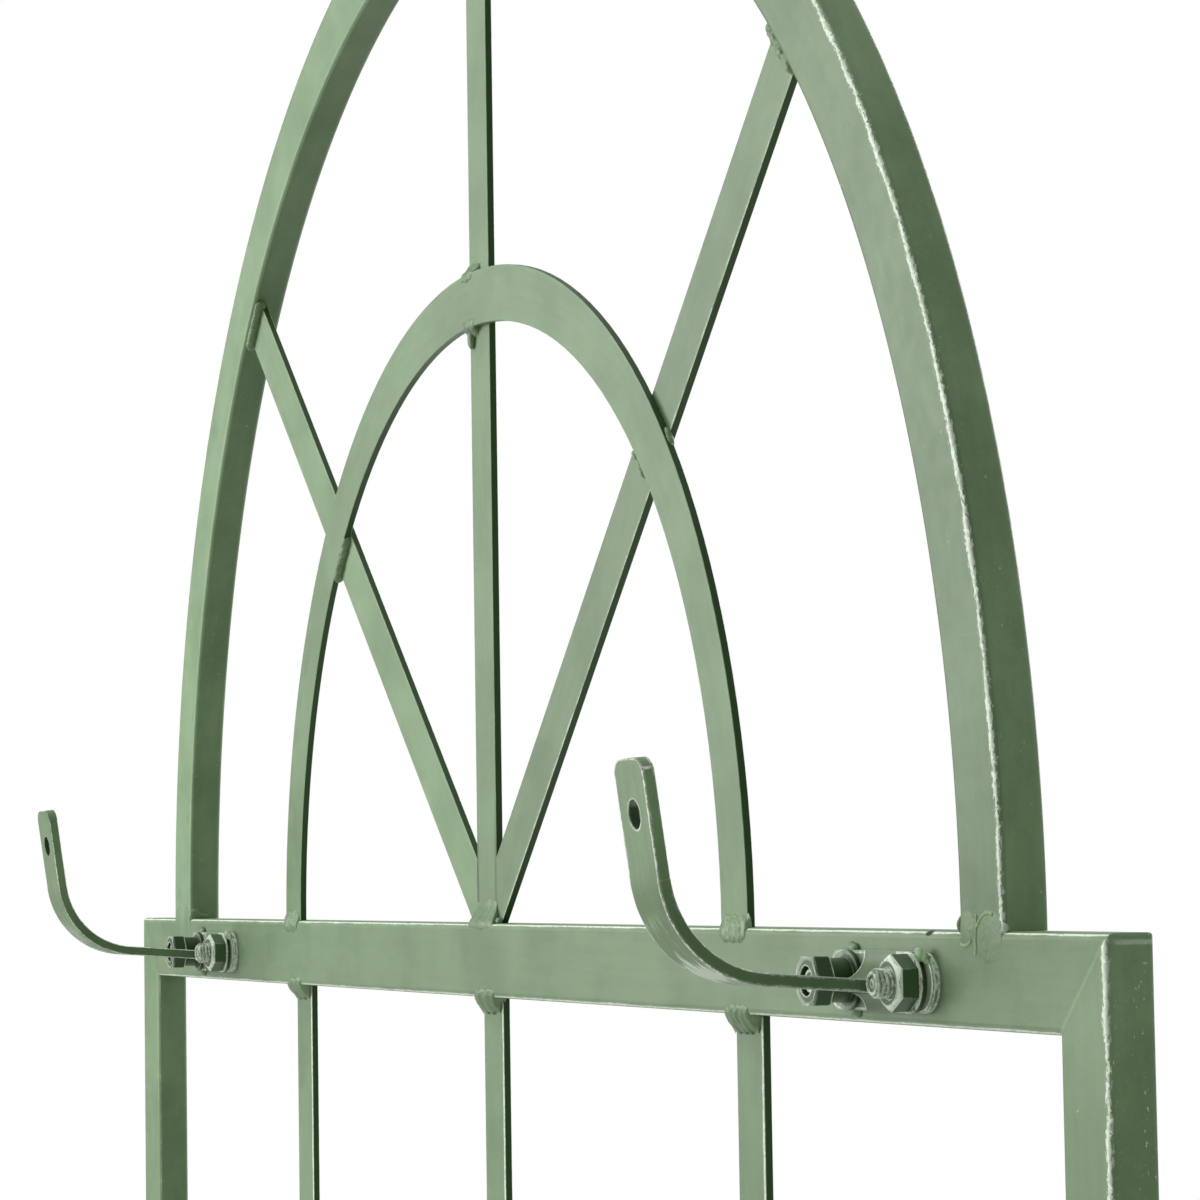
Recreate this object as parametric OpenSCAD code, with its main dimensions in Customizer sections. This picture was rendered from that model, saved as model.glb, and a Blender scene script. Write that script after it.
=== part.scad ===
// Garden trellis: a tube frame with a round arch on top, a fan of flat bars inside the arch,
// and two hook arms bolted to the front of the top rail.
// X runs along the trellis, the front faces -Y, Z is up.
// The origin is on the soil line, midway between the posts, in the plane of the front faces.

/* [Frame] */
// Width over the outer faces of both posts
frame_w = 870; // [800:5:1000]
// Height from the underside of the bottom rail to the top of the top rail
frame_h = 1100; // [700:10:1400]
// Clear height between the soil and the bottom rail
ground_gap = 100; // [60:5:200]

/* [Tube] */
// Width of the tube, seen from the front
tube_w = 25; // [22:0.5:32]
// Depth of the tube, front to back
tube_d = 13; // [12:0.5:20]
// Wall thickness of the tube
tube_wall = 1.5; // [1:0.1:2]
// Outer corner radius of the tube
tube_r = 2; // [1.6:0.1:2.4]

/* [Arches and bars] */
// Step from the outer face of a post to the outer face of the arch foot
arch_inset = 52; // [35:1:80]
// Width of a flat bar
bar_w = 19; // [14:0.5:22]
// Thickness of a flat bar
bar_t = 2.5; // [2:0.25:3]
// Radius of the rolled edges of a flat bar
bar_edge_r = 0.4; // [0.2:0.1:0.8]
// Distance from the centre line to the middle of a side bar
bar_pitch = 214; // [170:1:240]
// Angle between the centre bar and the left diagonal, in degrees
left_fan = 47.5; // [35:0.1:55]
// Angle between the centre bar and the right diagonal, in degrees
right_fan = 45.7; // [35:0.1:55]
// Distance from the front of the frame back to the front of the inner arch
ring_set = 1; // [0:0.25:2]
// Gap that the weld fills where a bar meets a round face
weld_gap = 0.2; // [0.1:0.05:0.3]

/* [Hook arms] */
// Distance from the outer face of a post in to the middle of a hook
hook_inset = 118; // [112:1:165]
// Distance from the middle of the top rail down to the bolts
hook_drop = 1; // [0:0.25:1.5]
// Distance from the bolts down to the middle of the arm's root
hook_low = 1.5; // [0:0.1:2]
// Width of a hook arm
hook_w = 20; // [14:0.5:21]
// Thickness of a hook arm
hook_t = 3.5; // [3:0.25:5]
// Radius of the hook arm's edges
hook_edge_r = 0.5; // [0.2:0.1:0.8]
// Straight run of the arm, from its plate to the bend
hook_run = 37.8; // [25:0.1:60]
// Rise of that run, in degrees
hook_rise = 4.5; // [0:0.5:8]
// Radius of the bend, at the middle of the thickness
hook_bend_r = 30.5; // [20:0.5:50]
// Angle that the bend turns through
hook_turn = 77.5; // [70:0.5:85]
// Straight length from the bend to the tip
hook_end = 31.8; // [26:0.1:60]
// Corner radius of the tip
hook_tip_r = 5.5; // [3:0.5:6.5]
// Diameter of the hole in the tip
hook_hole_d = 8; // [5:0.5:9]
// Distance from the tip to the middle of the hole
hook_hole_in = 14.5; // [10:0.5:18]

/* [Hook plates] */
// Height of a hook plate
plate_h = 16; // [15:0.5:18]
// Thickness of a hook plate
plate_t = 2.25; // [2:0.25:4]
// Distance between the two bolts of a plate
bolt_pitch = 38; // [36:0.5:44]
// Metal beyond the middle of each bolt
plate_end = 11.5; // [9:0.5:13]
// Corner radius of the plate's square end
plate_r = 4; // [2:0.5:6]

/* [Fasteners] */
// Diameter of the bolts
bolt_d = 8; // [6:0.5:8]
// Size across the flats of the nuts and bolt heads
nut_af = 13; // [12:0.5:14]
// Height of a nut
nut_h = 5.5; // [5:0.5:8]
// Height of a bolt head
head_h = 5.3; // [4:0.1:7]
// Diameter of a washer
washer_d = 16; // [15:0.5:17]
// Thickness of a washer
washer_t = 1.6; // [1:0.1:2.5]
// Length of bolt that stands out of the nut beside the plate's round end
bolt_proud = 5; // [4:0.5:10]
// Length of the spacer under the other nut
spacer_l = 6; // [4:0.5:8]
// Diameter of the spacer
spacer_d = 12; // [10:0.5:13]
// Radial play of a bolt in its hole
bolt_play = 0.3; // [0.2:0.05:0.5]

/* [Ground fixing] */
// Diameter of a ground stake
stake_d = 8; // [7.5:0.25:8]
// Diameter of the stake's end inside the post
spigot_d = 7; // [6:0.25:7]
// Depth of a stake below the soil line
stake_depth = 200; // [120:10:300]
// Length of a stake inside its post
stake_grip = 60; // [40:5:100]
// Length of the stake's point
stake_point = 25; // [15:1:40]
// Thickness of the foot under the end of a post
foot_t = 3; // [2:0.5:5]
// Depth of the foot plug inside its post
plug_depth = 20; // [12:1:30]

/* [Hidden] */
$fn = 96;

// Paint and metal colours
paint = [0.56, 0.64, 0.53];
zinc = [0.50, 0.57, 0.47];

// Clearance of small parts that slide into each other
fit_gap = 0.1;
// Reach of a cutter past the metal that it cuts
over = 1;

// Frame
half_w = frame_w / 2;
rail_top = ground_gap + frame_h;
rail_mid = rail_top - tube_w / 2;
rail_low = rail_top - tube_w;
lower_rail_top = ground_gap + tube_w;
post_x = half_w - tube_w / 2;

// Arches and bars: the fan lies behind the inner arch, the lower bars in the middle of the rails
arch_r = half_w - arch_inset;
arch_inner_r = arch_r - tube_w;
ring_r = bar_pitch + bar_w / 2;
fan_y = ring_set + bar_t;
lower_y = (tube_d - bar_t) / 2;

// Hooks: the arm's root flares in two hollow curves, up and down to the edges of the plate
hook_x = half_w - hook_inset;
hook_z = rail_mid - hook_drop;
plate_l = bolt_pitch + 2 * plate_end;
upper_flare_r = plate_h / 2 + hook_low - hook_t / 2;
lower_flare_r = plate_h / 2 - hook_low - hook_t / 2;
// The arm's straight end starts inside the bend, and is a hair thinner all round
end_lead = 0.5;
end_relief = 0.05;

// Bolts: places along Y, from the rail's front face
bolt_r = bolt_d / 2;
hole_r = bolt_r + bolt_play;
front_seat = -plate_t - washer_t;
rear_seat = tube_d + washer_t;
bolt_tip = front_seat - nut_h - bolt_proud;

// Foot
cavity_w = tube_w - 2 * tube_wall;
cavity_d = tube_d - 2 * tube_wall;
cavity_r = tube_r - tube_wall;

// Rectangle with round corners, centred on the origin
module round_rect(w, h, r) {
    square([w - 2 * r, h], center = true);
    square([w, h - 2 * r], center = true);
    for (x = [-1, 1], y = [-1, 1])
        translate([x * (w / 2 - r), y * (h / 2 - r)])
            circle(r = r);
}

// Cross-section of the tube, width along X, its front face on Y = 0
module tube_section() {
    translate([0, tube_d / 2])
        difference() {
            round_rect(tube_w, tube_d, tube_r);
            round_rect(cavity_w, cavity_d, max(cavity_r, 0.1));
        }
}

// Cross-section of a flat bar, width along X, thickness along Y from zero
module bar_section() {
    translate([0, bar_t / 2])
        round_rect(bar_w, bar_t, bar_edge_r);
}

// Shape drawn in the XZ plane, made into a prism that covers the depth of the frame
module through_frame() {
    translate([0, tube_d + over, 0])
        rotate([90, 0, 0])
            linear_extrude(tube_d + 2 * over)
                children();
}

// Half ring in the XZ plane, from a cross-section whose outer face is at radius r
module half_ring(r, w) {
    rotate([90, 0, 0])
        rotate_extrude(angle = 180, $fn = 360)
            translate([r - w / 2, 0])
                mirror([0, 1])
                    children();
}

// Post: its top is mitred to meet the top rail
module post(side) {
    color(paint)
        intersection() {
            translate([side * post_x, 0, foot_t])
                linear_extrude(rail_top - foot_t)
                    tube_section();
            through_frame()
                polygon([
                    [side * half_w, 0],
                    [side * half_w, rail_top],
                    [side * (half_w - tube_w), rail_low],
                    [side * (half_w - tube_w), 0]
                ]);
        }
}

// Bolt holes of one hook, through the front and back of the rail
module rail_holes(side) {
    at_bolts(side)
        translate([0, -over, 0])
            along_y(tube_d + 2 * over)
                circle(r = hole_r);
}

// Top rail: mitred at both ends and drilled for the hook bolts
module top_rail() {
    color(paint)
        difference() {
            intersection() {
                translate([-half_w, 0, rail_mid])
                    rotate([90, 0, 90])
                        linear_extrude(frame_w)
                            rotate([0, 0, 90])
                                mirror([0, 1])
                                    tube_section();
                through_frame()
                    polygon([
                        [-half_w, rail_top],
                        [half_w, rail_top],
                        [half_w - tube_w, rail_low],
                        [-half_w + tube_w, rail_low]
                    ]);
            }
            for (side = [-1, 1])
                rail_holes(side);
        }
}

// Bottom rail: fits between the posts
module bottom_rail() {
    color(paint)
        translate([-half_w + tube_w, 0, ground_gap + tube_w / 2])
            rotate([90, 0, 90])
                linear_extrude(frame_w - 2 * tube_w)
                    rotate([0, 0, 90])
                        mirror([0, 1])
                            tube_section();
}

// Outer arch: one bent tube that stands on the top rail
module outer_arch() {
    color(paint)
        translate([0, 0, rail_top])
            half_ring(arch_r, tube_w)
                tube_section();
}

// Inner arch: one flat bar, in front of the fan
module inner_arch() {
    color(paint)
        translate([0, ring_set, rail_top])
            half_ring(ring_r, bar_w)
                bar_section();
}

// Space inside the outer arch and above the rail
module arch_space() {
    difference() {
        circle(r = arch_inner_r - weld_gap, $fn = 360);
        translate([-arch_r, -2 * arch_r])
            square([2 * arch_r, 2 * arch_r]);
    }
}

// Centre bar: from the rail to the crown, its end cut to the curve of the arch
module centre_bar() {
    color(paint)
        translate([0, 0, rail_top])
            intersection() {
                translate([0, fan_y, 0])
                    linear_extrude(arch_r)
                        bar_section();
                through_frame()
                    arch_space();
            }
}

// Diagonal: cut square to the rail, to the side of the centre bar and to the curve of the arch
module diagonal(side, angle) {
    color(paint)
        translate([0, 0, rail_top])
            intersection() {
                rotate([0, side * angle, 0])
                    translate([0, fan_y, 0])
                        linear_extrude(arch_r)
                            bar_section();
                through_frame()
                    difference() {
                        arch_space();
                        translate([-side * arch_r + side * bar_w / 2 - arch_r, 0])
                            square([2 * arch_r, 2 * arch_r]);
                    }
            }
}

// Lower bar: stands between the two rails
module lower_bar(x) {
    color(paint)
        translate([x, lower_y, lower_rail_top])
            linear_extrude(rail_low - lower_rail_top)
                bar_section();
}

// Places children at both bolts of one hook, on the rail's front face
module at_bolts(side) {
    for (x = [-1, 1])
        translate([side * hook_x + x * bolt_pitch / 2, 0, hook_z])
            children();
}

// Shape drawn in the XZ plane, made into a prism that runs from Y = 0 towards the back
module along_y(length) {
    translate([0, length, 0])
        rotate([90, 0, 0])
            linear_extrude(length)
                children();
}

// Outline of a hook plate: one end square with round corners, the other end a half circle
module plate_outline() {
    translate([-plate_h / 4, 0])
        round_rect(plate_l - plate_h / 2, plate_h, plate_r);
    translate([plate_l / 2 - plate_h / 2, 0])
        circle(d = plate_h);
    translate([0, -plate_h / 2])
        square([plate_l / 2 - plate_h / 2, plate_h]);
}

// Hook plate, flat on the front of the rail
module hook_plate(side) {
    color(paint)
        difference() {
            translate([side * hook_x, -plate_t, hook_z])
                along_y(plate_t)
                    plate_outline();
            at_bolts(side)
                translate([0, -plate_t - over, 0])
                    along_y(plate_t + 2 * over)
                        circle(r = hole_r);
        }
}

// Cross-section of a hook arm, thickness along X and width along Y
module hook_section(relief = 0) {
    round_rect(hook_t - 2 * relief, hook_w - 2 * relief, hook_edge_r);
}

// Corner filled with a hollow curve of radius r, between the lines X = 0 and Y = 0
module hollow_corner(r) {
    difference() {
        square(r);
        translate([r, r])
            circle(r = r);
    }
}

// Root of the arm: flares to the full height of the plate
module hook_root() {
    linear_extrude(hook_w - hook_edge_r, center = true) {
        translate([0, -hook_t / 2])
            square([lower_flare_r, hook_t]);
        translate([0, hook_t / 2])
            hollow_corner(upper_flare_r);
        translate([0, -hook_t / 2])
            mirror([0, 1])
                hollow_corner(lower_flare_r);
    }
}

// End of the arm: straight, with a round-cornered tip and one hole
module hook_tip() {
    difference() {
        intersection() {
            translate([-end_lead, 0, 0])
                rotate([90, 0, 90])
                    linear_extrude(hook_end + end_lead)
                        hook_section(end_relief);
            rotate([90, 0, 0])
                linear_extrude(2 * hook_t, center = true)
                    translate([hook_end / 2 - hook_tip_r, 0])
                        round_rect(hook_end + 2 * hook_tip_r, hook_w, hook_tip_r);
        }
        translate([hook_end - hook_hole_in, 0, 0])
            rotate([90, 0, 0])
                cylinder(d = hook_hole_d, h = 2 * hook_t, center = true);
    }
}

// Hook arm: X leads forward out of the plate, Y is up and Z is across the arm
module hook_profile() {
    hook_root();
    rotate([0, 0, hook_rise]) {
        rotate([90, 0, 90])
            linear_extrude(hook_run)
                hook_section();
        translate([hook_run, hook_bend_r, 0]) {
            rotate([0, 0, -90])
                rotate_extrude(angle = hook_turn, $fn = 180)
                    translate([hook_bend_r, 0])
                        hook_section();
            rotate([0, 0, hook_turn])
                translate([0, -hook_bend_r, 0])
                    hook_tip();
        }
    }
}

// Hook arm on its plate
module hook_arm(side) {
    color(paint)
        translate([side * hook_x, -plate_t, hook_z - hook_low])
            intersection() {
                rotate([90, 0, -90])
                    hook_profile();
                translate([-hook_w, -2 * arch_r, -arch_r])
                    cube([2 * hook_w, 2 * arch_r, 2 * arch_r]);
            }
}

// Solid with six flats and chamfered corners, from Y = 0 towards the front
module hexagon(height) {
    corner_r = nut_af / sqrt(3);
    chamfer = (corner_r - nut_af / 2) * tan(30);
    rotate([90, 0, 0])
        intersection() {
            linear_extrude(height)
                rotate([0, 0, 30])
                    circle(r = corner_r, $fn = 6);
            rotate_extrude()
                polygon([
                    [0, 0],
                    [corner_r, 0],
                    [corner_r, height - chamfer],
                    [nut_af / 2, height],
                    [0, height]
                ]);
        }
}

// Bolts of one hook: heads on the back of the rail, threads to the front
module hook_bolts(side) {
    chamfer = bolt_d / 8;
    color(zinc)
        at_bolts(side) {
            translate([0, rear_seat, 0])
                rotate([0, 0, 180])
                    hexagon(head_h);
            translate([0, rear_seat, 0])
                rotate([90, 0, 0])
                    rotate_extrude()
                        polygon([
                            [0, 0],
                            [bolt_r, 0],
                            [bolt_r, rear_seat - bolt_tip - chamfer],
                            [bolt_r - chamfer, rear_seat - bolt_tip],
                            [0, rear_seat - bolt_tip]
                        ]);
        }
}

// Nut with its back on Y = 0
module nut() {
    difference() {
        hexagon(nut_h);
        translate([0, over, 0])
            rotate([90, 0, 0])
                cylinder(r = bolt_r + fit_gap, h = nut_h + 2 * over);
    }
}

// Nuts of one hook: one on a washer, the other turned by half a flat and set out by the spacer
module hook_nuts(side) {
    color(zinc)
        translate([side * hook_x, front_seat, hook_z]) {
            translate([bolt_pitch / 2, 0, 0])
                nut();
            translate([-bolt_pitch / 2, -spacer_l, 0])
                rotate([0, 30, 0])
                    nut();
        }
}

// Spacer of one hook, between a washer and its nut
module hook_spacer(side) {
    color(zinc)
        translate([side * hook_x - bolt_pitch / 2, front_seat - spacer_l, hook_z])
            along_y(spacer_l)
                difference() {
                    circle(d = spacer_d);
                    circle(r = hole_r);
                }
}

// Washers of one hook, from Y = y towards the back
module washers(side, y) {
    color(zinc)
        at_bolts(side)
            translate([0, y, 0])
                along_y(washer_t)
                    difference() {
                        circle(d = washer_d);
                        circle(r = hole_r);
                    }
}

// Foot plug: closes the end of a post and holds the stake
module foot_plug(side) {
    color(zinc)
        translate([side * post_x, tube_d / 2, 0])
            difference() {
                union() {
                    linear_extrude(foot_t)
                        round_rect(tube_w, tube_d, tube_r);
                    linear_extrude(foot_t + plug_depth)
                        square([cavity_w - 2 * tube_r, cavity_d - 2 * fit_gap], center = true);
                }
                translate([0, 0, -over])
                    cylinder(d = spigot_d + 2 * fit_gap, h = foot_t + plug_depth + 2 * over);
            }
}

// Ground stake: round rod with a blunt point, and a shoulder under the foot plug
module stake(side) {
    blunt_r = 1;
    color(zinc)
        translate([side * post_x, tube_d / 2, 0])
            rotate_extrude()
                polygon([
                    [0, -stake_depth],
                    [blunt_r, -stake_depth],
                    [stake_d / 2, -stake_depth + stake_point],
                    [stake_d / 2, 0],
                    [spigot_d / 2, 0],
                    [spigot_d / 2, stake_grip],
                    [0, stake_grip]
                ]);
}

post(-1);  // left_post
post(1);  // right_post
top_rail();
bottom_rail();
outer_arch();
inner_arch();
centre_bar();
diagonal(-1, left_fan);  // left_diagonal
diagonal(1, right_fan);  // right_diagonal
lower_bar(-bar_pitch);  // left_lower_bar
lower_bar(0);  // centre_lower_bar
lower_bar(bar_pitch);  // right_lower_bar
hook_plate(-1);  // left_hook_plate
hook_plate(1);  // right_hook_plate
hook_arm(-1);  // left_hook_arm
hook_arm(1);  // right_hook_arm
hook_bolts(-1);  // left_hook_bolts
hook_bolts(1);  // right_hook_bolts
hook_nuts(-1);  // left_hook_nuts
hook_nuts(1);  // right_hook_nuts
washers(-1, front_seat);  // left_front_washers
washers(1, front_seat);  // right_front_washers
hook_spacer(-1);  // left_hook_spacer
hook_spacer(1);  // right_hook_spacer
washers(-1, tube_d);  // left_rear_washers
washers(1, tube_d);  // right_rear_washers
foot_plug(-1);  // left_foot_plug
foot_plug(1);  // right_foot_plug
stake(-1);  // left_stake
stake(1);  // right_stake
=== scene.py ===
import math
from types import SimpleNamespace

import bmesh
import bpy
from mathutils import Matrix, Vector, noise


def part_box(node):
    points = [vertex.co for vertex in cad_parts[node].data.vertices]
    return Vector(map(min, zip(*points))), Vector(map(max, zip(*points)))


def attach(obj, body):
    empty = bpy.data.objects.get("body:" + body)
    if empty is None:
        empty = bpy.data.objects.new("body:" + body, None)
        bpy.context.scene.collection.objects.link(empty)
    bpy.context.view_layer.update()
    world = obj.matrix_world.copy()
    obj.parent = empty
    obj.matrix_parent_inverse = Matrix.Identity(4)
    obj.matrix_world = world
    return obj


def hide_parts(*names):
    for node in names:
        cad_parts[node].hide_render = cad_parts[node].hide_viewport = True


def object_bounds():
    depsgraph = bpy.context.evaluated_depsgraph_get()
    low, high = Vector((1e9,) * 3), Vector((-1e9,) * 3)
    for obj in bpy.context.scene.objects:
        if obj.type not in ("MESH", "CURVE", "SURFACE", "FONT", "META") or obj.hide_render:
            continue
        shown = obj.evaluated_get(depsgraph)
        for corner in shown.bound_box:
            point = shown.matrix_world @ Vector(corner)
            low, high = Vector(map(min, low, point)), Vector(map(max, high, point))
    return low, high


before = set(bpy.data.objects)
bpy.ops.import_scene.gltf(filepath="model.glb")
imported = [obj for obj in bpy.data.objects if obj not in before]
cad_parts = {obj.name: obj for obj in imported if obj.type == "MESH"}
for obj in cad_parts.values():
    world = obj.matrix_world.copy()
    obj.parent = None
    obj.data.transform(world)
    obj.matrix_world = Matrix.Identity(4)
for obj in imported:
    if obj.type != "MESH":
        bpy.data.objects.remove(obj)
cad_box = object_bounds()

# Looks of the trellis: worn paint, with painted light and shade, on the imported nodes, and welds, threads
# and a finer arch made here
MM = 0.001

# Sizes taken from the frame, in metres
RAIL_LO, RAIL_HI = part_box("top_rail")
POST_LO, POST_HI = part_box("right_post")
RING_LO, RING_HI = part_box("inner_arch")
ARCH_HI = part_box("outer_arch")[1]
BAR_LO, BAR_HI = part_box("right_lower_bar")
FAN_LO, FAN_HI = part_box("centre_bar")
BASE_LO, BASE_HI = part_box("bottom_rail")
RAIL_TOP = RAIL_HI.z
RAIL_LOW = RAIL_LO.z
RAIL_MID = (RAIL_TOP + RAIL_LOW) / 2
BASE_MID = (BASE_LO.z + BASE_HI.z) / 2
TUBE_W = POST_HI.x - POST_LO.x
TUBE_D = POST_HI.y
TUBE_MID_Y = TUBE_D / 2
POST_X = (POST_LO.x + POST_HI.x) / 2
ARCH_R = ARCH_HI.x - TUBE_W / 2
BAR_W = BAR_HI.x - BAR_LO.x
BAR_X = (BAR_LO.x + BAR_HI.x) / 2
LOW_BAR_Y = (BAR_LO.y + BAR_HI.y) / 2
FAN_Y = (FAN_LO.y + FAN_HI.y) / 2
RING_R = RING_HI.x - BAR_W / 2
RING_Y = (RING_LO.y + RING_HI.y) / 2
TUBE_HALF = (TUBE_W / 2, TUBE_D / 2)
BAR_HALF = (BAR_W / 2, (BAR_HI.y - BAR_LO.y) / 2)

# Angles of the diagonals from upright
LEFT_FAN = math.radians(-47.5)
RIGHT_FAN = math.radians(45.7)

# Hooks: the bolts' axes, the arm and the plate
BOLT_LO, BOLT_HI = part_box("right_hook_bolts")
HEAD_R = 0.0065 / math.cos(math.pi / 6)
HUB_X = (BOLT_LO.x + HEAD_R, BOLT_HI.x - HEAD_R)
HUB_Z = (BOLT_LO.z + BOLT_HI.z) / 2
HOOK_X = (HUB_X[0] + HUB_X[1]) / 2
ARM_LO, ARM_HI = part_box("right_hook_arm")
ARM_HALF = ((ARM_HI.x - ARM_LO.x) / 2, 0.0)
PLATE_LO, PLATE_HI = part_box("right_hook_plate")
WASHER_FRONT_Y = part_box("right_front_washers")[0].y
NUT_FRONT_Y = WASHER_FRONT_Y - 0.0055
# y and z where the arm's bend meets its straight end
ARM_SEAM = (-0.06774, 1.21413)
# z of the hole near the tip, and the radius within which it is grimy
ARM_HOLE = (ARM_HI.z - 0.0145, 0.0044)
# The arm's root flares in two hollow curves up and down the plate: centre y and z, and radius
ROOT_LOW, ROOT_TOP = 1.18325, 1.18675
FLARES = ((PLATE_LO.y - (PLATE_HI.z - ROOT_TOP), PLATE_HI.z, PLATE_HI.z - ROOT_TOP),
          (PLATE_LO.y - (ROOT_LOW - PLATE_LO.z), PLATE_LO.z, ROOT_LOW - PLATE_LO.z))


class Tree:
    """Short ways to add shader nodes to one material or world."""

    def __init__(self, owner):
        owner.use_nodes = True
        self.nt = owner.node_tree
        self.nt.nodes.clear()

    def node(self, kind, *values, **settings):
        """A node with values or links for its first inputs."""
        made = self.nt.nodes.new("ShaderNode" + kind)
        for key, value in settings.items():
            setattr(made, key, value)
        for socket, value in zip(made.inputs, values):
            self.put(socket, value)
        return made

    def put(self, socket, value):
        if isinstance(value, bpy.types.NodeSocket):
            self.nt.links.new(value, socket)
        elif value is not None:
            socket.default_value = value

    def math(self, operation, *values):
        return self.node("Math", *values, operation=operation).outputs[0]

    def add(self, a, b):
        return self.math("ADD", a, b)

    def sub(self, a, b):
        return self.math("SUBTRACT", a, b)

    def mul(self, a, b):
        return self.math("MULTIPLY", a, b)

    def most(self, a, b):
        return self.math("MAXIMUM", a, b)

    def size(self, a):
        """a without its sign."""
        return self.math("ABSOLUTE", a)

    def length(self, a, b):
        return self.math("SQRT", self.add(self.mul(a, a), self.mul(b, b)))

    def ramp(self, value, low, high, to_low=0.0, to_high=1.0, smooth=True):
        made = self.node("MapRange", value, low, high, to_low, to_high, clamp=True,
                         interpolation_type="SMOOTHSTEP" if smooth else "LINEAR")
        return made.outputs[0]

    def fall(self, value, low, high):
        """1 up to low and 0 from high on."""
        return self.ramp(value, low, high, 1.0, 0.0)

    def parts(self, vector):
        """The x, y and z of a vector."""
        return self.node("SeparateXYZ", vector).outputs

    def stretch(self, vector, scale):
        return self.node("VectorMath", vector, scale, operation="MULTIPLY").outputs[0]

    def shift(self, vector, offset):
        return self.node("VectorMath", vector, offset, operation="ADD").outputs[0]

    def tint(self, color, value):
        """color times value, a grey factor."""
        made = self.node("VectorMath", color, operation="SCALE")
        self.put(made.inputs["Scale"], value)
        return made.outputs[0]

    def noise(self, vector, scale, detail=2.0, rough=0.5, distort=0.0):
        made = self.node("TexNoise", vector)
        for key, v in (("Scale", scale), ("Detail", detail), ("Roughness", rough), ("Distortion", distort)):
            made.inputs[key].default_value = v
        return made.outputs["Fac"]

    def mix(self, share, a, b):
        made = self.node("Mix", share, data_type="RGBA")
        for socket, v in ((made.inputs[6], a), (made.inputs[7], b)):
            self.put(socket, (*v, 1.0) if isinstance(v, tuple) else v)
        return made.outputs[2]

    def blend(self, share, shader_a, shader_b, output):
        """Two shaders mixed by share, sent to the material's or world's output."""
        made = self.node("MixShader", share, shader_a.outputs[0], shader_b.outputs[0])
        self.node(output, made.outputs[0])

    def facing(self, axis):
        """The surface normal's share along an axis."""
        return self.parts(self.node("NewGeometry").outputs["Normal"])[axis]


def srgb(*color):
    """Scene values of a colour given as 0 to 255, none of them under 11."""
    return tuple(((c / 255 + 0.055) / 1.055) ** 2.4 for c in color)


# Colours of the paint, and of painted shade
SAGE = srgb(112, 138, 102)
SAGE_PALE = srgb(124, 150, 114)
SAGE_DEEP = srgb(99, 125, 89)
UNDERCOAT = srgb(240, 250, 233)
# The next colour is real dirt in the paint's chips, and painted shade in grooves, the arm's hole, close
# corners and around the washers
DIRT_AND_SHADE = srgb(30, 44, 24)
# The next colour is painted shade: the sides that look to +X, and the small parts all over, are mixed
# towards it
PAINTED_SHADE = (0.010, 0.052, 0.004)
CHIP_DARK = (0.003, 0.010, 0.002)
PAINT_IOR = 1.5
PAINT_SHEEN_TINT = (0.84, 1.0, 0.78, 1.0)
# Further than any edge is from a point, in metres
FAR_OFF = 1.0
# Half the width over which a left and a right half of a piece are blended, in metres
HALF_BLEND = 0.0003

# A coat of paint without other wishes. half: the piece's half width and half depth. edges: how far its long
# edges are rubbed through, across-/front, across+/front, across-/back, across+/back, or one number for a
# loose shape. gap: how wide a rubbed edge is. Further wishes are named in STEPS.
PLAIN_LOOK = dict(kind="loose", centre=(0, 0, 0), half=None, edges=(0.3,), gap=0.0011, edge_reach=0.0011,
                  bite=1.0, grit=780, cut=(0.74, 0.90), spread_out=0.0, tone=1.0, side_tone=1.0, shaded=1.0,
                  brushed=0.05, soil_tone=0.6, halo=0.38)


def coordinates(t, kind, centre):
    """Place along, across and in depth on a piece, in metres, and how far the face looks across."""
    x, y, z = t.parts(t.node("TexCoord").outputs["Object"])
    nx, ny, nz = t.parts(t.node("NewGeometry").outputs["Normal"])
    cx, cy, cz = centre
    if kind in ("upright", "arm"):
        return z, t.sub(x, cx), t.sub(y, cy), nx
    if kind == "level":
        return x, t.sub(z, cz), t.sub(y, cy), nz
    if kind == "arch":
        # cx is the arch's middle radius
        up = t.sub(z, RAIL_TOP)
        radius = t.length(x, up)
        outward = t.math("DIVIDE", t.add(t.mul(nx, x), t.mul(nz, up)), radius)
        return t.mul(t.math("ARCTAN2", up, x), cx), t.sub(radius, cx), t.sub(y, cy), outward
    if kind == "slant":
        # cx is the bar's angle from upright
        up = t.sub(z, RAIL_TOP)
        along = t.add(t.mul(x, math.sin(cx)), t.mul(up, math.cos(cx)))
        across = t.sub(t.mul(x, math.cos(cx)), t.mul(up, math.sin(cx)))
        return along, across, t.sub(y, cy), t.sub(t.mul(nx, math.cos(cx)), t.mul(nz, math.sin(cx)))
    return x, y, z, ny


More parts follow.
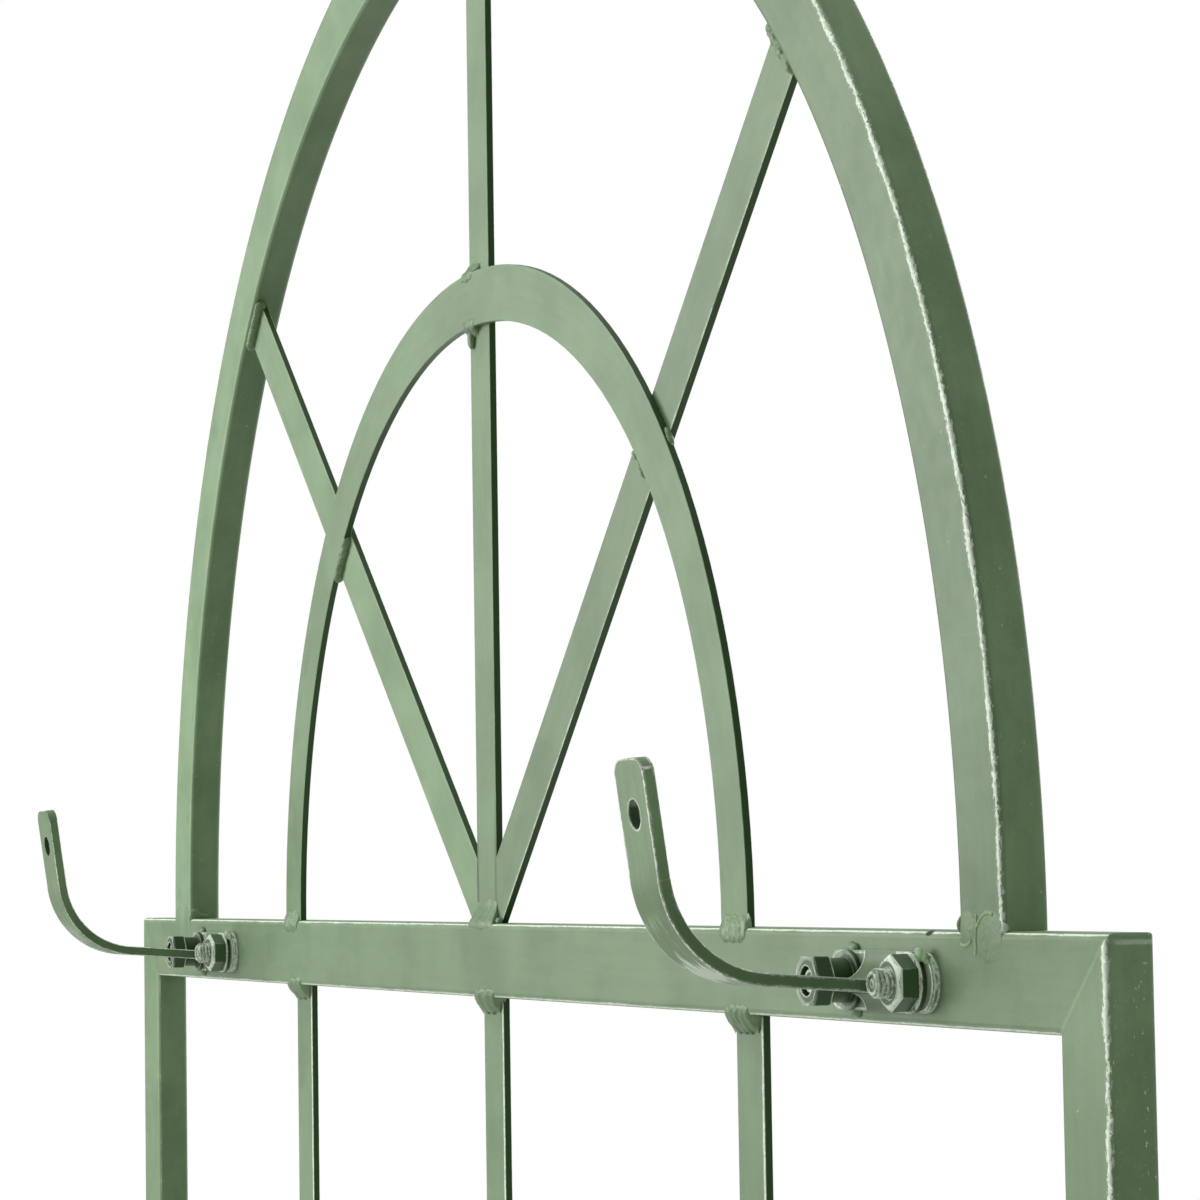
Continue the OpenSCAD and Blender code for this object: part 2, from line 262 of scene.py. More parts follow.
class Coat(Tree):
    """The paint of one piece. Its steps change color, with painted light and shade among the changes, how
    strongly edges are rubbed (strength) and where the undercoat shows (bare), which also carries painted
    highlights."""

    def __init__(self, material, look):
        super().__init__(material)
        self.look = look
        self.drawn = look.kind != "loose"
        self.u, self.v, self.w, across = coordinates(self, look.kind, look.centre)
        self.turned = self.size(across)
        self.body = self.node("TexCoord").outputs["Object"]
        self.x, self.y, self.z = self.parts(self.body)
        seed = look.seed
        spot = self.node("CombineXYZ", self.u, self.v, self.w).outputs[0]
        self.place = self.shift(spot, (seed, seed * 1.7, seed * 0.6))
        grained = self.drawn_out((0.12, 1, 0.12 if look.kind == "arm" else 1))
        self.cloud = self.noise(self.body, 24, 3, 0.55)
        self.mottle = self.noise(self.body, 170, 4, 0.6, 0.3)
        self.grain = self.noise(self.body, 900, 3, 0.65)
        self.streak = self.noise(grained, 330, 3, 0.6)
        self.nick = self.noise(self.drawn_out((0.4, 1, 1)), look.grit, 4, 0.6)
        self.patch = self.noise(self.place, 60, 3, 0.6)

    def drawn_out(self, scale):
        """The place stretched along the piece, if the piece has a direction."""
        return self.stretch(self.place, scale) if self.drawn else self.place

    def cover(self, share, color):
        self.color = self.mix(share, self.color, color)

    def off_middle(self):
        return self.size(self.v)

    def make_bare(self, amount):
        self.bare = self.most(self.bare, amount)


def brushed_paint(c):
    """The paint itself: clouds, brush marks, grain and fine scratches, as light as tone says."""
    look = c.look
    c.color = c.mix(c.ramp(c.cloud, 0.34, 0.66), SAGE_DEEP, SAGE_PALE)
    c.cover(0.45, SAGE)
    shade = c.add(c.ramp(c.mottle, 0.25, 0.75, 0.93, 1.07, False),
                  c.ramp(c.streak, 0.3, 0.7, -look.brushed, look.brushed, False))
    shade = c.add(shade, c.ramp(c.grain, 0.25, 0.75, -0.05, 0.05, False))
    c.color = c.tint(c.color, c.mul(shade, look.tone))
    # scratches are thin lines where a stretched noise crosses its middle, only in some places
    hair = c.noise(c.stretch(c.place, (0.05, 1, 1)), 620, 2, 0.5)
    line = c.fall(c.size(c.sub(hair, 0.5)), 0.0, 0.0045)
    some = c.ramp(c.noise(c.body, 48, 2, 0.5), 0.56, 0.66)
    c.scratch = c.mul(c.mul(line, some), 0.5)
    c.cover(c.scratch, SAGE_PALE)


def inner_depth(c, low, high):
    """How far a point is from the nearest edge, from the occlusion inside the piece within edge_reach."""
    hollow = c.node("AmbientOcclusion", samples=8, inside=True, only_local=True)
    hollow.inputs["Distance"].default_value = c.look.edge_reach
    return c.ramp(hollow.outputs["AO"], low, high, 0.0, c.look.gap * 2, False)


def bar_edges(c):
    """Edges of a bar, whose section says where they are. spread_out and cut let the wear run onto the sides.
    The side factor paints shade on both sides where it is under 1 and light where it is over 1, and the
    sides that look to +X get painted shade besides."""
    look = c.look
    half_width, half_depth = look.half
    ragged = c.turned
    if look.spread_out:
        ragged = c.add(c.turned, c.mul(c.sub(c.nick, 0.5), -look.spread_out))
    c.on_side = c.ramp(c.turned, 0.84, 0.96)
    off_edge = c.ramp(ragged, *look.cut) if look.spread_out or not half_depth else c.on_side
    c.reach = c.add(c.sub(half_width, c.off_middle()), c.mul(off_edge, FAR_OFF))
    if not half_depth:
        c.reach = c.math("MINIMUM", c.reach, inner_depth(c, 0.40, 0.95))
    right = c.ramp(c.v, -HALF_BLEND, HALF_BLEND)
    back = c.ramp(c.w, -HALF_BLEND, HALF_BLEND)
    front_pair = c.ramp(right, 0, 1, *look.edges[:2], False)
    back_pair = c.ramp(right, 0, 1, *look.edges[2:], False)
    c.strength = c.add(c.mul(front_pair, c.sub(1.0, back)), c.mul(back_pair, back))
    if look.side_tone != 1.0:
        # painted shade on both side faces where the factor is under 1, painted light where it is over 1
        c.cover(c.on_side, c.tint(c.color, look.side_tone))
    if look.shaded < 1.0:
        # painted shade on the sides that look to +X, away from the key lamp
        turned_right = c.ramp(c.facing(0), 0.05, 0.35)
        c.cover(c.mul(c.on_side, turned_right), c.mix(look.shaded, PAINTED_SHADE, c.color))


def loose_edges(c):
    """Edges of any other shape. The whole piece gets painted shade, mixed towards a deep green as far as its
    wish asks.
    """
    c.reach = inner_depth(c, 0.45, 0.98)
    c.strength = c.look.edges[0]
    # painted shade over the whole piece
    if c.look.shaded < 1.0:
        c.color = c.mix(c.look.shaded, PAINTED_SHADE, c.color)


def find_edges(c):
    """How far each point is from a rubbed edge (reach), and how strongly that edge is rubbed."""
    if c.look.half:
        bar_edges(c)
    else:
        loose_edges(c)


def spared_left_edges(c):
    """Hardly any rubbed edge on the -X part, whose front is painted lighter."""
    c.strength = c.sub(c.strength, c.ramp(c.x, -0.20, 0.05, 1.8, 0.0))


def painted_groove_shade(c):
    """Painted shade in the gaps beside a bar's foot, up to the given height in metres over the rail."""
    height, half_width = c.look.grooves, c.look.half[0]
    low_part = c.ramp(c.sub(c.u, RAIL_TOP), height * 0.25, height, 0.80, 0.0)
    beside = c.ramp(c.off_middle(), half_width - 0.0026, half_width - 0.0004)
    c.cover(c.mul(low_part, beside), DIRT_AND_SHADE)


def wear_until(c):
    """No rubbed edges beyond a depth: it begins to end and has ended there."""
    c.strength = c.sub(c.strength, c.ramp(c.w if c.drawn else c.v, *c.look.until, 0.0, 3.0))


def crest_wear_and_trough_shade(c):
    """Pale worn crests on a lumpy weld, and painted shade in its troughs."""
    crest = c.node("NewGeometry").outputs["Pointiness"]
    c.cover(c.ramp(crest, 0.515, 0.60, 0.0, 0.42), c.mix(0.35, SAGE_PALE, UNDERCOAT))
    # painted shade in the troughs
    c.cover(c.ramp(crest, 0.42, 0.495, 0.34, 0.0), SAGE_DEEP)


def hide_seam(c):
    """The joint between the bend and the straight end of an arm isn't an edge."""
    seam_y, seam_z = c.look.seam
    half_width = c.look.half[0]
    away = c.length(c.sub(c.y, seam_y), c.sub(c.z, seam_z))
    inner = c.fall(c.off_middle(), half_width - 0.0016, half_width - 0.0010)
    c.strength = c.sub(c.strength, c.mul(c.ramp(away, 0.0030, 0.0040, 3.0, 0.0), inner))


def wear(c):
    """Where the paint is rubbed through (bare), nearly so (fade), and where soil sits in the chips (soil).
    bite is how broken the rubbed edge is."""
    look = c.look
    broken = c.add(c.mul(c.sub(c.nick, 0.5), 1.5 * look.bite), c.mul(c.sub(c.patch, 0.5), 1.6 * look.bite))
    worn = c.sub(c.add(c.strength, broken), c.math("DIVIDE", c.reach, look.gap))
    c.bare = c.ramp(worn, -0.30, -0.05)
    c.fade = c.ramp(worn, -1.1, 0.1, 0.0, look.halo)
    soil_bite = c.noise(c.shift(c.place, (3.1, 1.3, 0.7)), 560, 3, 0.7)
    c.soil = c.mul(c.ramp(c.add(worn, c.mul(c.sub(soil_bite, 0.60), 5.0)), -0.35, 0.15),
                   c.fall(c.reach, 0.0, 0.0035))


def speckled_rim(c):
    """Small bare spots on the faces that turn away from the front."""
    spots = c.ramp(c.add(c.nick, c.mul(c.patch, 0.5)), 0.66, 0.80)
    c.make_bare(c.mul(spots, c.ramp(c.turned, 0.2, 0.5, c.look.rim, 0.0)))


def bent_arm(c):
    """Painted shade towards the plate, painted light on the sides above the bend, and streaks of painted
    highlight along its underside, drawn as bare undercoat.
    """
    # painted shade towards the plate
    c.color = c.tint(c.color, c.ramp(c.y, -0.026, -0.004, 1.0, 0.70))
    # painted light on the sides above the bend
    c.cover(c.on_side, c.tint(c.color, c.ramp(c.z, 1.194, 1.222, 1.0, 1.5)))
    # streaks of painted highlight on the bend's underside, drawn as bare undercoat
    below = c.fall(c.facing(2), -0.78, -0.34)
    bend = c.mul(c.ramp(c.y, -0.074, -0.068), c.fall(c.y, -0.040, -0.030))
    stripe = c.noise(c.stretch(c.place, (0.09, 1, 0.09)), 560, 4, 0.6)
    rubbed = c.mul(c.mul(below, bend), c.ramp(c.add(stripe, c.mul(c.sub(c.patch, 0.5), 1.2)), 0.44, 0.56))
    c.make_bare(c.mul(rubbed, 0.70 if c.look.centre[0] > 0 else 0.30))


def painted_hole_shade(c):
    """Painted shade on the walls of the hole near the tip."""
    hole_z, hole_r = c.look.hole
    inside = c.fall(c.length(c.v, c.sub(c.z, hole_z)), hole_r, hole_r + 0.0002)
    wall = c.ramp(c.size(c.facing(1)), 0.35, 0.6, 0.85, 0.0)
    c.cover(c.mul(inside, wall), DIRT_AND_SHADE)


def flare_rims(c):
    """The curved rims of the flares at the arm's root, rubbed pale."""
    half_width = c.look.half[0]
    for flare_y, flare_z, flare_r in c.look.flares:
        from_y, from_z = c.sub(c.y, flare_y), c.sub(c.z, flare_z)
        off_curve = c.size(c.sub(c.length(from_y, from_z), flare_r))
        on_rim = c.mul(c.fall(off_curve, 0.0003, 0.00055),
                       c.ramp(c.off_middle(), half_width - 0.0009, half_width - 0.0006))
        on_rim = c.mul(on_rim, c.ramp(from_y, 0.0004, 0.0010))
        c.make_bare(c.mul(on_rim, c.ramp(c.nick, 0.3, 0.5, 0.45, 0.85)))


def mitred_corner(c):
    """The faint line of the mitre, and the weld line that closes the tube's end on its outer side."""
    side_x = c.size(c.x)
    pale = c.mix(0.4, SAGE_PALE, UNDERCOAT)
    unrest = c.mul(c.sub(c.mottle, 0.5), 0.0012)
    line_at = c.add(c.sub(c.sub(side_x, POST_LO.x), c.sub(c.z, RAIL_LOW)), unrest)
    at_corner = c.ramp(side_x, POST_LO.x - 0.002, POST_LO.x + 0.001)
    close = c.mul(c.fall(c.size(line_at), 0.0002, 0.0014), at_corner)
    beside = c.mul(c.fall(c.size(c.sub(line_at, 0.0011)), 0.0002, 0.0008), at_corner)
    c.cover(c.mul(close, c.ramp(c.cloud, 0.4, 0.6, 0.06, 0.22)), pale)
    c.cover(c.mul(beside, 0.15), SAGE_DEEP)
    under_top = c.sub(RAIL_TOP - 0.0021, c.add(c.z, unrest))
    closing = c.mul(c.fall(c.size(under_top), 0.0002, 0.0009), c.ramp(c.turned, 0.6, 0.8))
    c.cover(c.mul(closing, c.ramp(c.mottle, 0.40, 0.56, 0.15, 0.75)), pale)


def painted_light_gradient(c):
    """Painted light: paler paint on the front of the -X part, which stands nearer the key lamp, and darker
    towards
    +X; painted shade on the inner side higher up the arch. Its wish gives x where the change begins and
    ends, and how light the paint is at both."""
    # painted light: the front paler towards -X and darker towards +X
    c.color = c.mix(c.on_side, c.tint(c.color, c.ramp(c.x, *c.look.faded, False)), c.color)
    # painted shade on the inner side higher up the arch
    inner_side = c.mul(c.on_side, c.fall(c.v, -HALF_BLEND, HALF_BLEND))
    c.cover(inner_side, c.tint(c.color, c.ramp(c.z, 1.25, 1.45, 0.96, 0.72)))


def pale_specks(c):
    dots = c.ramp(c.noise(c.shift(c.body, (5.2, 1.1, 3.4)), 620, 1, 0.4), 0.76, 0.80, 0.0, c.look.specks)
    c.cover(dots, c.mix(0.5, SAGE_PALE, UNDERCOAT))


def painted_occlusion_shade(c):
    """Painted shade where other parts stand close, from occlusion within 6 mm."""
    corner = c.node("AmbientOcclusion", samples=8)
    corner.inputs["Distance"].default_value = 0.006
    in_the_open = c.add(corner.outputs["AO"], c.mul(c.sub(c.mottle, 0.5), 0.3))
    c.cover(c.ramp(in_the_open, 0.30, 0.80, c.look.dirt, 0.0), DIRT_AND_SHADE)


def from_bolts(c):
    """Distance from the nearest bolt's axis."""
    side_x = c.size(c.x)
    near = FAR_OFF
    for hub_x in HUB_X:
        near = c.math("MINIMUM", c.length(c.sub(side_x, hub_x), c.sub(c.z, HUB_Z)), near)
    return near


def painted_hub_shade(c):
    """Painted shade around the washers."""
    c.cover(c.mul(c.fall(from_bolts(c), 0.0070, 0.0118), c.look.hubs), DIRT_AND_SHADE)


def worn_and_highlit_crown(c):
    """A pale front rim on two nuts or washers, worn in spots and with painted highlight where it faces up,
    and
    painted shade on the left one. crown: x between them, y of the left and the right one's front, the rim's
    radius and its depth."""
    middle_x, left_y, right_y, radius, depth = c.look.crown
    halves = (middle_x - 0.001, middle_x + 0.001)
    behind = c.sub(c.y, c.ramp(c.x, *halves, left_y, right_y, False))
    front = c.fall(behind, depth * 0.7, depth)
    outer = c.ramp(from_bolts(c), radius - 0.0004, radius + 0.0002)
    spotty = c.ramp(c.add(c.nick, c.mul(c.patch, 0.8)), 0.62, 0.96, 0.1, 1.0)
    # worn spots, and painted highlight where the rim faces up
    rubbed = c.most(spotty, c.ramp(c.facing(2), 0.15, 0.6, 0.0, 0.9))
    rubbed = c.mul(rubbed, c.ramp(c.x, *halves, 0.32, 1.0))
    # painted shade on the left one
    c.color = c.tint(c.color, c.ramp(c.x, *halves, 0.62, 1.0))
    c.make_bare(c.mul(c.mul(front, outer), rubbed))


def show_wear(c):
    c.cover(c.fade, c.mix(0.5, SAGE_PALE, UNDERCOAT))
    # bare undercoat: real wear, and the painted highlights on the arm's bend and the rims of nuts and
    # washers
    c.cover(c.bare, c.tint(UNDERCOAT, c.ramp(c.grain, 0.3, 0.7, 0.90, 1.04, False)))
    c.cover(c.mul(c.soil, c.look.soil_tone), DIRT_AND_SHADE)


def deep_chip(c):
    """One dark chip. chip: its x and z, half its width and half its height."""
    chip_x, chip_z, wide, tall = c.look.chip
    off = c.length(c.math("DIVIDE", c.sub(c.x, chip_x), wide), c.math("DIVIDE", c.sub(c.z, chip_z), tall))
    off = c.add(off, c.mul(c.sub(c.nick, 0.5), 1.6))
    c.cover(c.ramp(off, 0.75, 1.1, 0.98, 0.0), CHIP_DARK)


def satin_surface(c):
    """Roughness, fine relief and the shader itself."""
    rough = c.add(c.ramp(c.mottle, 0.3, 0.7, 0.38, 0.50, False), c.mul(c.bare, 0.10))
    height = c.add(c.mul(c.mottle, 0.35), c.mul(c.grain, 0.16))
    height = c.add(height, c.mul(c.streak, 0.25))
    height = c.sub(height, c.add(c.mul(c.bare, 0.35), c.mul(c.scratch, 0.35)))
    bump = c.node("Bump")
    bump.inputs["Strength"].default_value = 0.35
    bump.inputs["Distance"].default_value = 0.00035
    c.put(bump.inputs["Height"], height)
    shader = c.node("BsdfPrincipled")
    shader.inputs["IOR"].default_value = PAINT_IOR
    shader.inputs["Specular Tint"].default_value = PAINT_SHEEN_TINT
    c.put(shader.inputs["Base Color"], c.color)
    c.put(shader.inputs["Roughness"], rough)
    c.put(shader.inputs["Normal"], bump.outputs[0])
    c.node("OutputMaterial", shader.outputs[0])


# The steps of a coat in their order, each with the wish that calls for it
ALWAYS = ""
STEPS = ((ALWAYS, brushed_paint), (ALWAYS, find_edges), ("faded", spared_left_edges), ("grooves", painted_groove_shade),
         ("until", wear_until), ("lumpy", crest_wear_and_trough_shade), ("seam", hide_seam), (ALWAYS, wear),
         ("rim", speckled_rim), ("seam", bent_arm), ("hole", painted_hole_shade), ("flares", flare_rims),
         ("mitre", mitred_corner), ("faded", painted_light_gradient), ("specks", pale_specks), ("dirt", painted_occlusion_shade),
         ("hubs", painted_hub_shade), ("crown", worn_and_highlit_crown), (ALWAYS, show_wear), ("chip", deep_chip),
         (ALWAYS, satin_surface))


def paint(name, **wishes):
    """Worn sage paint: the plain look with what this piece wants otherwise."""
    material = bpy.data.materials.new(name)
    coat = Coat(material, SimpleNamespace(**{**PLAIN_LOOK, **wishes}))
    for wish, step in STEPS:
        if wish == ALWAYS or wish in wishes:
            step(coat)
    return material


def dress(material, *nodes):
    for name in nodes:
        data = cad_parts[name].data
        data.materials.clear()
        data.materials.append(material)


def dress_bar(node, name, kind, centre, edges, half=TUBE_HALF, **wishes):
    material = paint(name, kind=kind, centre=centre, edges=edges, half=half, **wishes)
    dress(material, node)
    return material


def dress_tubes():
    """Paint for the posts, the rails and the outer arch. Returns the arch's."""
    # The right post and the arch get painted light on their sides, where the factor is over 1
    rubbed = dict(gap=0.0015, bite=1.8, grit=1400, side_tone=1.10, halo=0.2, specks=0.5)
    chip = (0.3405, RAIL_TOP - 0.0006, 0.0026, 0.0010)
    dress_bar("right_post", "post_paint_right", "upright", (POST_X, TUBE_MID_Y, 0), (-0.8, 1.50, -0.4, -0.3),
              spread_out=2.2, cut=(0.60, 0.74), mitre=True, seed=0.3, **rubbed)
    # The left post's higher tone is painted light, brighter on the -X side where the key lamp stands
    dress_bar("left_post", "post_paint_left", "upright", (-POST_X, TUBE_MID_Y, 0), (-0.5, 0.1, -0.3, -0.3),
              bite=0.4, grit=520, soil_tone=0.35, mitre=True, tone=1.10, seed=1.3)
    # The rail gets painted shade where other parts stand close
    dress_bar("top_rail", "rail_paint", "level", (0, TUBE_MID_Y, RAIL_MID), (0.62, 0.60, 0.3, 0.3),
              tone=0.93, gap=0.0010, bite=0.42, grit=420, soil_tone=0.3, mitre=True, dirt=0.55, chip=chip,
              seed=2.1)
    dress_bar("bottom_rail", "low_rail_paint", "level", (0, TUBE_MID_Y, BASE_MID), (0.6, 0.7, 0.4, 0.4),
              bite=0.6, seed=2.9)
    # The arch's front is painted lighter towards -X and darker towards +X: painted light
    return dress_bar("outer_arch", "arch_paint", "arch", (ARCH_R, TUBE_MID_Y, 0), (-1.4, 1.50, -1.6, -1.6),
                     spread_out=2.0, cut=(0.56, 0.70), faded=(-0.40, 0.40, 1.30, 0.80), seed=3.7, **rubbed)


def dress_bars():
    """Paint for the inner arch and the flat bars."""
    # Flat bars: painted shade on both sides, and deeper painted shade on the sides that look to +X
    look = dict(half=BAR_HALF, side_tone=0.75, shaded=0.10, bite=0.5, grit=520, soil_tone=0.3)
    edges = (-0.5, -0.3, -0.3, -0.3)
    dress_bar("inner_arch", "ring_paint", "arch", (RING_R, RING_Y, 0), edges, seed=4.4, **look)
    # The centre bar gets painted shade in the gaps beside its foot
    dress_bar("centre_bar", "centre_bar_paint", "upright", (0, FAN_Y, 0), edges, grooves=0.05, seed=5.2,
              **look)
    # The left diagonal's higher tone and the right one's lower tone are painted light and painted shade
    dress_bar("left_diagonal", "left_slant_paint", "slant", (LEFT_FAN, FAN_Y, 0), (-0.5, -0.35, -0.3, -0.3),
              tone=1.16, seed=6.2, **look)
    dress_bar("right_diagonal", "right_slant_paint", "slant", (RIGHT_FAN, FAN_Y, 0), (-0.5, 0.1, -0.3, -0.2),
              tone=0.87, seed=7.2, **look)
    # The lower bars' tones fall from -X to +X: painted shade
    for i, (place, x) in enumerate((("left", -BAR_X), ("centre", 0), ("right", BAR_X))):
        name = place + "_lower_bar"
        dress_bar(name, name + "_paint", "upright", (x, LOW_BAR_Y, 0), (-0.3, 0.75, -0.1, 0.0),
                  tone=1.0 - 0.04 * i, seed=8 + i, **look)


ARCH_PAINT = dress_tubes()
dress_bars()


def weld_paint(name, edge, bite=0.3, **wishes):
    return paint(name, edges=(edge,), gap=0.0008, bite=bite, edge_reach=0.0010, **wishes)


# Paint of the welds and the small parts
# The drop is pale: worn paint, and painted highlight on its top
DROP_PAINT = weld_paint("drop_paint", 0.45, bite=1.6, tone=1.5, lumpy=True, seed=2.9)
DARK_WELD_PAINT = weld_paint("dark_weld_paint", 0.0, tone=0.80, lumpy=True, seed=3.9)
# Paler paint for the thin ridges on the right arch foot: painted highlight
HIGHLIGHT_WELD_PAINT = weld_paint("highlight_weld_paint", 0.0, tone=1.55, lumpy=True, seed=4.4)
BARE_PAINT = weld_paint("bare_paint", 3.0, bite=1.0, seed=5.9)
WELD_PAINT = weld_paint("weld_paint", 0.0, lumpy=True, seed=2.4)
FLAT_WELD_PAINT = weld_paint("flat_weld_paint", -2.0, tone=0.97, seed=2.4)
# Fasteners get strong painted shade where parts stand close, and painted shade over the whole piece
FASTENER = dict(gap=0.0006, edge_reach=0.0008, dirt=0.95, seed=1.9)
METAL = paint("hardware_paint", edges=(0.75,), bite=0.6, tone=0.9, shaded=0.35, halo=0.2, **FASTENER)
BOLT_PAINT = paint("bolt_paint", edges=(1.5,), bite=0.9, shaded=0.4, halo=0.3, **FASTENER)
# The plate gets painted shade around the washers and where other parts stand close
PLATE_PAINT = paint("plate_paint", edges=(1.6,), gap=0.0007, bite=0.4, edge_reach=0.0010, tone=0.95,
                    dirt=0.4, hubs=0.60, rim=0.8, seed=0.9)
# The spacer is painted near black: painted shade of the gap between its nut and the plate
SPACER_SHADE_PAINT = paint("spacer_shade_paint", edges=(0.0,), gap=0.0005, bite=0.5, edge_reach=0.0008, tone=0.7,
                     shaded=0.12, dirt=0.9, seed=4.9)


def dress_hook(side, sign, arm_edges):
    """Paint for one hook's arm and fasteners, and for the plug and stake of the same side."""
    # The arm gets painted shade on its sides and where other parts stand close
    arm_paint = paint(side + "_arm_paint", kind="arm", centre=(sign * HOOK_X, 0.02, 0), half=ARM_HALF,
                      edges=arm_edges, gap=0.0008, bite=0.7, grit=640, cut=(0.90, 0.99), edge_reach=0.0010,
                      side_tone=0.95, shaded=0.66, dirt=0.6, until=(-0.028, -0.026), brushed=0.10, halo=0.12,
                      seam=ARM_SEAM, hole=ARM_HOLE, flares=FLARES, seed=0.9 + sign)
    far_nut_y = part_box(side + "_hook_nuts")[0].y
    nut_crown = (sign * HOOK_X, far_nut_y, NUT_FRONT_Y, 0.0058, 0.0011)
    # Nuts: painted shade over the whole piece and where parts stand close, painted highlight on the rim that
    # faces up
    nut_paint = paint(side + "_nut_paint", edges=(0.75,), bite=0.6, tone=0.9, shaded=0.28, halo=0.2,
                      crown=nut_crown, until=(NUT_FRONT_Y + 0.0035, NUT_FRONT_Y + 0.004), **FASTENER)
    # Washers: painted shade over the whole piece and where parts stand close, painted highlight on the rim
    # that faces up
    washer_crown = (sign * HOOK_X, WASHER_FRONT_Y, WASHER_FRONT_Y, 0.0071, 0.0005)
    washer_paint = paint(side + "_washer_paint", edges=(-0.6,), gap=0.0005, bite=0.4, edge_reach=0.0006,
                         tone=0.9, shaded=0.25, dirt=0.9, crown=washer_crown, seed=3.3)
    dress(arm_paint, side + "_hook_arm")
    dress(PLATE_PAINT, side + "_hook_plate")
    dress(SPACER_SHADE_PAINT, side + "_hook_spacer")
    dress(nut_paint, side + "_hook_nuts")
    dress(washer_paint, side + "_front_washers")
    dress(METAL, side + "_hook_bolts", side + "_rear_washers", side + "_foot_plug", side + "_stake")


dress_hook("left", -1, (-0.1, 0.2, -0.1, 0.2))
dress_hook("right", 1, (0.75, 1.0, 0.75, 1.0))

# From here on, sizes and places are in millimetres
TOP, LOW, BASE_TOP = RAIL_TOP / MM, RAIL_LOW / MM, BASE_HI.z / MM
BAR, HALF_BAR = BAR_X / MM, BAR_W / MM / 2
RING_IN, RING_OUT = RING_R / MM - HALF_BAR, RING_R / MM + HALF_BAR
ARCH_IN = (ARCH_R - TUBE_W / 2) / MM
LOW_FRONT, FAN_FRONT, RING_FRONT = BAR_LO.y / MM, FAN_LO.y / MM, RING_LO.y / MM


def new_object(name, data):
    made = bpy.data.objects.new(name, data)
    bpy.context.scene.collection.objects.link(made)
    return made


def keep(name, mesh, material):
    """A finished piece from a mesh in metres."""
    for face in mesh.polygons:
        face.use_smooth = True
    mesh.materials.append(material)
    piece = new_object(name, mesh)
    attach(piece, "root")
    return piece


def closed_mesh(name, points, faces):
    """A mesh in metres from points in millimetres, its faces turned outwards."""
    mesh = bpy.data.meshes.new(name)
    mesh.from_pydata([tuple(c * MM for c in p) for p in points], [], faces)
    bm = bmesh.new()
    bm.from_mesh(mesh)
    bmesh.ops.recalc_face_normals(bm, faces=bm.faces)
    bm.to_mesh(mesh)
    bm.free()
    return mesh


def closed_sheet(name, front, back, columns, rows, material):
    """A sheet of columns times rows points, closed by as many points behind it, inside the metal."""
    rear = columns * rows
    faces = []
    for i in range(columns - 1):
        for j in range(rows - 1):
            a, b = i * rows + j, (i + 1) * rows + j
            faces.append((a, b, b + 1, a + 1))
            faces.append((rear + a, rear + a + 1, rear + b + 1, rear + b))
    rim = [i * rows for i in range(columns)]
    rim += [(columns - 1) * rows + j for j in range(1, rows)]
    rim += [i * rows + rows - 1 for i in range(columns - 2, -1, -1)]
    rim += list(range(rows - 2, 0, -1))
    for a, b in zip(rim, rim[1:] + rim[:1]):
        faces.append((b, a, rear + a, rear + b))
    keep(name, closed_mesh(name, front + back, faces), material)


def ringed_mesh(name, bodies):
    """A mesh from bodies, each one a row of rings of points, with both ends closed."""
    points, faces = [], []
    for rings in bodies:
        size, first = len(rings[0]), len(points)
        points += [p for ring in rings for p in ring]
        last = len(points) - size
        faces += [tuple(range(first, first + size)), tuple(range(last, last + size))]
        for a in range(first, last, size):
            for k in range(size):
                after = (k + 1) % size
                faces.append((a + k, a + size + k, a + size + after, a + after))
    return closed_mesh(name, points, faces)


def tube_outline(outer, inner, depth):
    """The tube's outline as (radius, y), with a point close before and after each round corner."""
    corner, corner_steps, hold = 2.0, 6, 0.4
    outline = []
    far, near, deep = outer - corner, inner + corner, depth - corner
    for radius, y, start in ((far, deep, 0), (near, deep, 90), (near, corner, 180), (far, corner, 270)):
        for k in range(-1, corner_steps + 2):
            a = math.radians(start + 90 * min(max(k, 0), corner_steps) / corner_steps)
            over = {-1: hold, corner_steps + 1: -hold}.get(k, 0.0)
            outline.append((radius + corner * math.cos(a) + over * math.sin(a),
                            y + corner * math.sin(a) - over * math.cos(a)))
    return outline


def smooth_arch(name, turn_steps=360):
    """The outer arch as a finely divided sweep of the tube's outline, inside the box of the CAD arch."""
    outer = (ARCH_HI.z - RAIL_TOP) / MM
    outline = tube_outline(outer, outer - TUBE_W / MM, TUBE_D / MM)
    rings = []
    for i in range(turn_steps + 1):
        a = math.pi * i / turn_steps
        rings.append([(radius * math.cos(a), y, TOP + radius * math.sin(a)) for radius, y in outline])
    mesh = ringed_mesh(name, [rings])
    piece = keep(name, mesh, ARCH_PAINT)
    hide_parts("outer_arch")
    mesh.set_sharp_from_angle(angle=math.radians(60))


